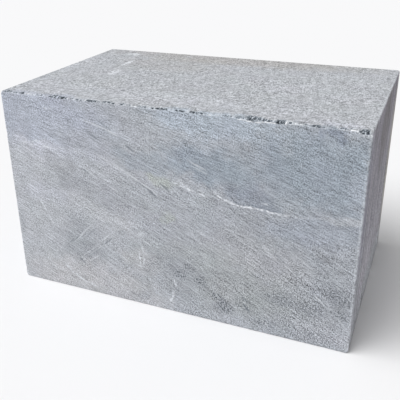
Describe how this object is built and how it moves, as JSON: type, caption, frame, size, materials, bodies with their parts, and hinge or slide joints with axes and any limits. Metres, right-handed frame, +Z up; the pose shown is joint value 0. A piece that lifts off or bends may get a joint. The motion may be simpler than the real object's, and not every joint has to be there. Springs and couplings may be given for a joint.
{
  "type": "raw soapstone block",
  "caption": "Rectangular block of raw soapstone with flat sawn faces and small chips broken off along its edges, most along the top of its front.",
  "frame": {"origin": "centre of the flat underside that the block rests on", "axes": "+X along the block's length, -Y out of the front face, +Z up"},
  "size_m": [0.254, 0.1574, 0.1516],
  "materials": {
    "soapstone": "matte"
  },
  "bodies": {
    "root": {"soapstone_block": "soapstone"}
  },
  "joints": []
}
